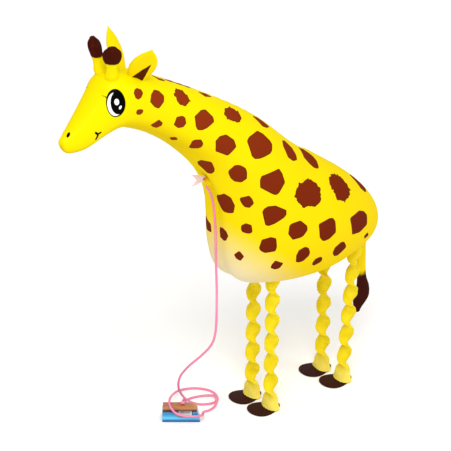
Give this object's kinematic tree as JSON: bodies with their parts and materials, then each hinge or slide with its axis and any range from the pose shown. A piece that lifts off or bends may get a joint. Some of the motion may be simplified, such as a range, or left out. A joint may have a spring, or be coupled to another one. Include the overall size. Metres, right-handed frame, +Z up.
{
  "type": "foil balloon",
  "caption": "Giraffe-shaped gas-filled walking foil balloon with twisted paper legs, card feet, a ribbon leash and a small block weight.",
  "frame": {"origin": "on the floor, under the middle of the animal's own bounding box, leaving out the ribbon and its weight", "axes": "+Z up, the giraffe looks along -X, its left side is towards -Y"},
  "size_m": [0.7924, 0.2379, 0.9026],
  "materials": {
    "printed_foil": "printed metallised film, glossy",
    "crepe_paper": "matt crinkled paper",
    "foot_card": "dark printed card, satin",
    "curling_ribbon": "satin polypropylene ribbon",
    "moulded_weight": "glossy moulded plastic",
    "handle_band": "satin brown plastic"
  },
  "bodies": {
    "root": {"balloon": "printed_foil", "horn_left": "printed_foil", "horn_right": "printed_foil", "ear_left": "printed_foil", "ear_right": "printed_foil", "tail": "printed_foil", "filling_tab": "curling_ribbon", "leg_front_left": "crepe_paper", "leg_front_right": "crepe_paper", "leg_rear_left": "crepe_paper", "leg_rear_right": "crepe_paper", "foot_front_left": "foot_card", "foot_front_right": "foot_card", "foot_rear_left": "foot_card", "foot_rear_right": "foot_card", "ribbon": "curling_ribbon", "ribbon_knot": "curling_ribbon", "weight_base": "moulded_weight", "weight_handle": "handle_band"}
  },
  "joints": []
}
